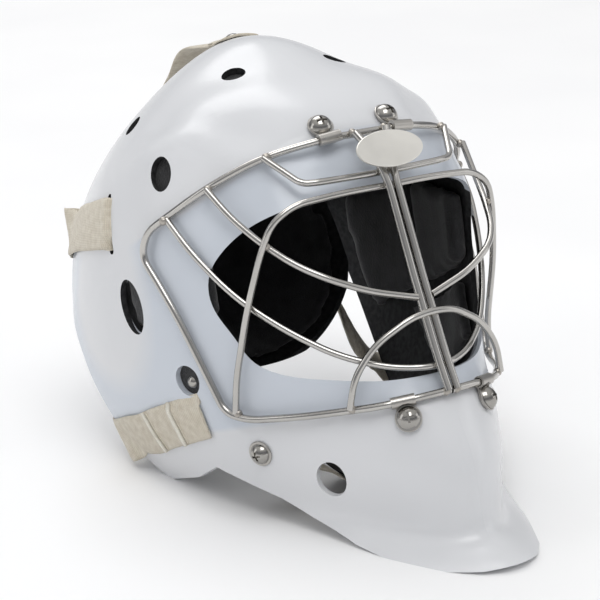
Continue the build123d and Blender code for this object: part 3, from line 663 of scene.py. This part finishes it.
def make_strap(kind, rows, per, start, end, folds=()):
    """Both straps of a kind, with raised sewn folds at the given worn points, in lighter webbing as a
    painted highlight.
    """
    single = kind == "top_strap"
    node = kind if single else kind + "_right"
    grid, out = strap_grid(node, rows, per)
    grid = ruffle(grid, out, RUFFLE, RUFFLE_SCALE)
    if kind == "upper_strap":
        grid, out = into_slot(grid, out)
    lines, welts = [], []
    for point, high, wide in folds:
        row = nearest_row(grid, at(*point))
        spread = np.arange(len(grid)) - row
        reach = np.linalg.norm(grid[min(row + 1, len(grid) - 1), MIDDLE] - grid[row, MIDDLE])
        lift = high * np.exp(-((spread * reach / wide) ** 2))
        grid = grid + out * lift[:, None, None]
        across = np.linspace(-1, 1, 9)
        along = grid[row + 1] - grid[row - 1]
        along /= np.linalg.norm(along, axis=1, keepdims=True)
        welts.append((np.array([grid[row] + along * (s * wide * WELT_WIDE)
                                + out[row] * (WELT_RISE - 0.5 * high * s * s) for s in across]),
                      np.array([out[row]] * len(across))))
        for side in (-1, 1):
            lines += across_line(grid, out, row + side * max(1, round(wide * WELT_STITCH / reach)))
    last = len(grid) - 1 - TAIL_IN
    tail = across_line(grid, out, last) + across_line(grid, out, last - TAIL_GAP)
    for side in ((1,) if single else (1, -1)):
        g, o = (grid, out) if side == 1 else (flip(grid), flip(out))
        name = kind if single else kind + ("_right" if side == 1 else "_left")
        mesh = web_mesh(name + "_webbing", g, o)
        band = piece(name + "_webbing", mesh, WEB, "webbing")
        a, b = at(*start), at(*end)
        if side == -1:
            a.x, b.x = -a.x, -b.x
        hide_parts(name)
        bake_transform(band)
        swap = (lambda p: flip(np.array(p))) if side == -1 else np.array
        for k, (top, facing) in enumerate(welts):
            # The folds take the lighter webbing: painted highlight.
            mesh = web_mesh(f"{name}_fold_{k}", swap(top), swap(facing), WELT_T)
            piece(f"{name}_fold_{k}", mesh, FOLD_HIGHLIGHT, "webbing", "mask")
        if lines:
            stitches(name + "_front_stitches",
                     [tuple(swap(p) for p in line) for line in lines], "mask")
        stitches(name + "_plate_stitches",
                 [tuple(swap(p) for p in line) for line in tail], "back_plate")


make_strap("lower_strap", LOWER_ROWS, 32, (-97, 72, -86), (-72, 86, -28),
           [((-103, -12, -81.5), 0.0018, 0.0013), ((-106.5, 16, -86), 0.0015, 0.0011)])
make_strap("upper_strap", UPPER_ROWS, 12, (-99, 102, 46), (-72, 102, 46))
make_strap("top_strap", TOP_ROWS, 14, (0, 96, 127), (0, 114, 100),
           [((0, 19, 143), 0.0006, 0.0014)])

# ---------------------------------------------------------------- chin sling
# Millimetres, as in the CAD source.
CUP_Y, CUP_Z = -66.0, -104.0
CUP_BALL, CUP_DROP, PIVOT_X = 46.0, 36.0, 68.0
SLING_GAP, SLING_OUT = 2.3, 1.0         # from the cup's ball and PIVOT_X to the sling's outer face
SLING_EYE, SLING_FOOT, SLING_HALF = 7.0, 7.6, 8.0
SLING_EDGE, SLING_T = math.radians(46), 0.0018


def hung(x, up, fore):
    """Point of the hanging cup's frame: across, up and forward of the swing axis, in metres."""
    hinge = at(0, CUP_Y, CUP_Z)
    return np.array((x / 1000, hinge.y - fore / 1000, hinge.z + up / 1000))


def sling():
    """Webbing under the cup: straight from each eyelet, round under the cup."""
    r, middle, side = CUP_BALL + SLING_GAP, CUP_BALL - CUP_DROP, -PIVOT_X - SLING_OUT
    route = [(side, SLING_EYE), (side, 0), (side, -SLING_FOOT)]
    route += [(-r * math.sin(SLING_EDGE * k / 6), middle - r * math.cos(SLING_EDGE * k / 6))
              for k in range(6, 0, -1)]
    right = np.array(route)
    line = np.concatenate([right, [[0, middle - r]], right[::-1] * [-1, 1]])
    far = np.concatenate([[0], np.cumsum(np.linalg.norm(np.diff(line, axis=0), axis=1))])
    spots = np.linspace(0, far[-1], 90)
    line = np.stack([np.interp(spots, far, line[:, i]) for i in (0, 1)], 1)
    run = np.gradient(line, axis=0)
    grid = np.array([[hung(x, up, fore) for fore in np.linspace(-SLING_HALF, SLING_HALF, WEB_COLUMNS)]
                     for x, up in line])
    out = np.array([[(d[1], 0, -d[0])] * WEB_COLUMNS for d in run], float)
    out /= np.linalg.norm(out, axis=2, keepdims=True)
    mesh = web_mesh("chin_sling_webbing", grid, out, SLING_T)
    made = piece("chin_sling_webbing", mesh, WEB, "webbing", "chin_cup")
    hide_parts("chin_sling")


sling()

# ---------------------------------------------------------------- weld beads of the cage
# Worn places of the beads on the right side, at or near the wires' joins: x, y, z and bead radius.
JOINS = [(-61.4, -106.4, 62.2, 2.3), (-91.3, -66.5, -79.3, 2.3), (-89.6, -82.5, 51, 2.3),
         (-106.6, -52.9, 39, 2.4), (-51.6, -127.4, -87.4, 2.3), (-3.6, -152.3, -88, 2.4),
         (-2.9, -131.8, 42.3, 1.8), (-78.2, -115.6, 12.5, 1.8), (-2.6, -133.9, 33.6, 1.8),
         (-4.9, -143, -32.7, 2.0), (-3, -148.4, -42.7, 1.8), (-2.8, -148.5, -72.6, 1.8),
         (-11, -121.8, 67, 2.0)]
BEAD_SPREAD = 1.12              # a bead's size over its radius in JOINS
BEAD_PITS, BEAD_ROUGH = 900, 0.00025


def beads():
    bm = bmesh.new()
    for x, y, z, r in JOINS:
        for side in (1, -1):
            place = Matrix.Translation(at(x * side, y, z))
            bmesh.ops.create_icosphere(bm, subdivisions=3, radius=r * BEAD_SPREAD / 1000,
                                       matrix=place)
    for v in bm.verts:
        v.co += v.normal * (noise.noise(v.co * BEAD_PITS) * BEAD_ROUGH)
    mesh = bpy.data.meshes.new("cage_weld_beads")
    bm.to_mesh(mesh)
    bm.free()
    piece("cage_weld_beads", mesh, BEAD, "cage_steel", "mask")


beads()

# ---------------------------------------------------------------- foam liner
def channel(x, y, z, across, width=0.0022, deep=0.0014):
    return at(x, y, z), turn(*across), width, deep


for kind, cuts in (
        ("temple_pad", [channel(-100, -10, 60, (0.2, 1, 0))]),
        ("cheek_pad", [channel(-95, -50, -45, (0, 0.2, 1))]),
        ("ear_pad", [channel(-110, 20, -40, (0, 0, 1))]),
        ("jaw_pad", [channel(-80, -60, -95, (0, 1, 0.3))])):
    right = pad(kind + "_right", "mask", channels=cuts)
    mirrored(right, kind + "_left", "mask")
pad("forehead_pad", "mask",
    channels=[channel(-24, -90, 70, (1, 0, 0)), channel(24, -90, 70, (1, 0, 0))])
pad("crown_pad", "mask", channels=[channel(0, 0, 130, (1, 0, 0)), channel(0, -20, 130, (0, 1, 0))])
pad("sweatband", "mask", TOWEL, "sweatband", voxel=0.0025)
pad("back_plate_pad", "back_plate",
    channels=[channel(0, 110, 20, (1, 0, 0)), channel(0, 110, 30, (0, 0, 1))])
pad("chin_cup_pad", "chin_cup", voxel=0.004)

# ---------------------------------------------------------------- floor
bpy.ops.mesh.primitive_plane_add(size=40, location=(0, 0, 0))
floor = bpy.context.object
floor.name = "floor"
ground = Look("floor_paper", (0.93, 0.93, 0.93), 0.9)
ground.link(ground.ramp(ground.noise(3, 2), "Fac", (0.92, 0.92, 0.925), (0.95, 0.95, 0.95)),
            "Color", ground.shader, "Base Color")
floor.data.materials.append(ground.mat)
